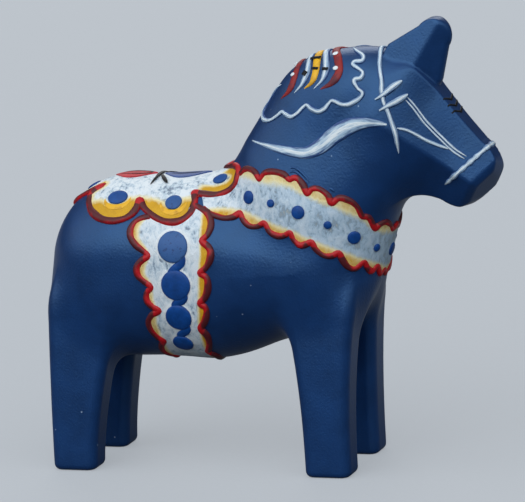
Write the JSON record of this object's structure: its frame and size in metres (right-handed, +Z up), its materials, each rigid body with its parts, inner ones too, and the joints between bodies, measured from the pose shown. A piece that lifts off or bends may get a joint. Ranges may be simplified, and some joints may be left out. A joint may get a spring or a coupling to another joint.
{
  "type": "dala horse",
  "caption": "Standing folk-craft horse figure with a smooth blue body and a raised, scalloped and painted harness, for display on a shelf.",
  "frame": {"origin": "on the middle plane at the level of the soles, under the middle of the overall box", "axes": "+X towards the horse's head, +Y towards its left side, +Z up"},
  "size_m": [0.0811, 0.0254, 0.0776],
  "materials": {
    "blue_paint": "satin",
    "red_paint": "satin",
    "yellow_paint": "satin",
    "bead_blue_paint": "satin",
    "black_paint": "satin",
    "white_field_paint": "satin",
    "white_cord_paint": "satin"
  },
  "bodies": {
    "root": {"body": "blue_paint", "saddle_field_right": "white_field_paint", "saddle_field_left": "white_field_paint", "saddle_rim": "red_paint", "saddle_dots_right": "bead_blue_paint", "saddle_dots_left": "bead_blue_paint", "saddle_crescents_right": "yellow_paint", "saddle_crescents_left": "yellow_paint", "saddle_leaf_red": "red_paint", "saddle_leaf_blue": "bead_blue_paint", "saddle_veins": "black_paint", "girth_field": "white_field_paint", "girth_rim_rear": "red_paint", "girth_rim_front": "red_paint", "girth_beads_right": "bead_blue_paint", "girth_beads_left": "bead_blue_paint", "girth_links_right": "bead_blue_paint", "girth_links_left": "bead_blue_paint", "breast_band_field": "white_field_paint", "breast_band_gussets": "white_field_paint", "breast_band_rim_upper": "red_paint", "breast_band_rim_lower": "red_paint", "breast_band_dots": "bead_blue_paint", "crest_cord_right": "white_cord_paint", "crest_cord_left": "white_cord_paint", "crest_petal_rear_red": "red_paint", "crest_petal_rear_white": "white_cord_paint", "crest_petal_yellow": "yellow_paint", "crest_petal_front_white": "white_cord_paint", "crest_petal_front_red": "red_paint", "rein_right": "white_cord_paint", "rein_left": "white_cord_paint", "headstall": "white_cord_paint", "buckle_strokes_right": "white_cord_paint", "buckle_strokes_left": "white_cord_paint", "cheek_strap_right": "white_cord_paint", "cheek_strap_left": "white_cord_paint", "noseband": "white_cord_paint", "forehead_mark": "black_paint"}
  },
  "joints": []
}
